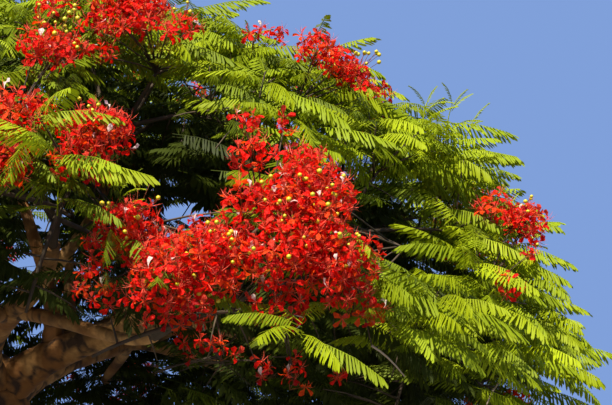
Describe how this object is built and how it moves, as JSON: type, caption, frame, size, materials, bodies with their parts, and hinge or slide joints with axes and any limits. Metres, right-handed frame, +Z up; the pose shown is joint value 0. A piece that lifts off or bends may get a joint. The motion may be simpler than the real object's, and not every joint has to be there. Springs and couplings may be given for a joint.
{
  "type": "flame tree",
  "caption": "Flame tree: short stout trunk with a root flare, arching limbs and a wide low dome of drooping feathery fronds and heads of red blossom.",
  "frame": {"origin": "middle of the flat cut under the trunk, at ground level", "axes": "+Z up; -Y towards the sunny side that the picture shows; +X to the right in the picture"},
  "size_m": [7.8788, 7.2171, 4.7636],
  "materials": {
    "bark": "matte",
    "leaf": "satin",
    "blossom": "satin"
  },
  "bodies": {
    "root": {"trunk": "bark", "limb_1": "bark", "limb_2": "bark", "limb_3": "bark", "limb_4": "bark", "limb_5": "bark", "bough_rim_1": "bark", "bough_rim_2": "bark", "bough_rim_3": "bark", "bough_rim_4": "bark", "bough_rim_5": "bark", "bough_rim_6": "bark", "bough_rim_7": "bark", "bough_rim_8": "bark", "bough_rim_9": "bark", "bough_rim_10": "bark", "bough_shoulder_3": "bark", "bough_shoulder_6": "bark", "bough_shoulder_8": "bark", "bough_top_1": "bark", "bough_top_2": "bark", "bough_top_3": "bark", "bough_top_4": "bark", "bough_top_5": "bark", "bough_crest_1": "bark", "blossom_mass_rim_1": "blossom", "leaf_mass_rim_2": "leaf", "leaf_mass_rim_3": "leaf", "leaf_mass_rim_4": "leaf", "blossom_mass_rim_5": "blossom", "leaf_mass_rim_6": "leaf", "leaf_mass_rim_7": "leaf", "leaf_mass_rim_8": "leaf", "leaf_mass_rim_9": "leaf", "leaf_mass_rim_10": "leaf", "blossom_mass_shoulder_1": "blossom", "leaf_mass_shoulder_2": "leaf", "leaf_mass_shoulder_3": "leaf", "blossom_mass_shoulder_4": "blossom", "leaf_mass_shoulder_5": "leaf", "blossom_mass_shoulder_6": "blossom", "blossom_mass_shoulder_7": "blossom", "leaf_mass_shoulder_8": "leaf", "leaf_mass_top_1": "leaf", "leaf_mass_top_2": "leaf", "leaf_mass_top_3": "leaf", "leaf_mass_top_4": "leaf", "blossom_mass_top_5": "blossom", "leaf_mass_crest_1": "leaf"}
  },
  "joints": []
}
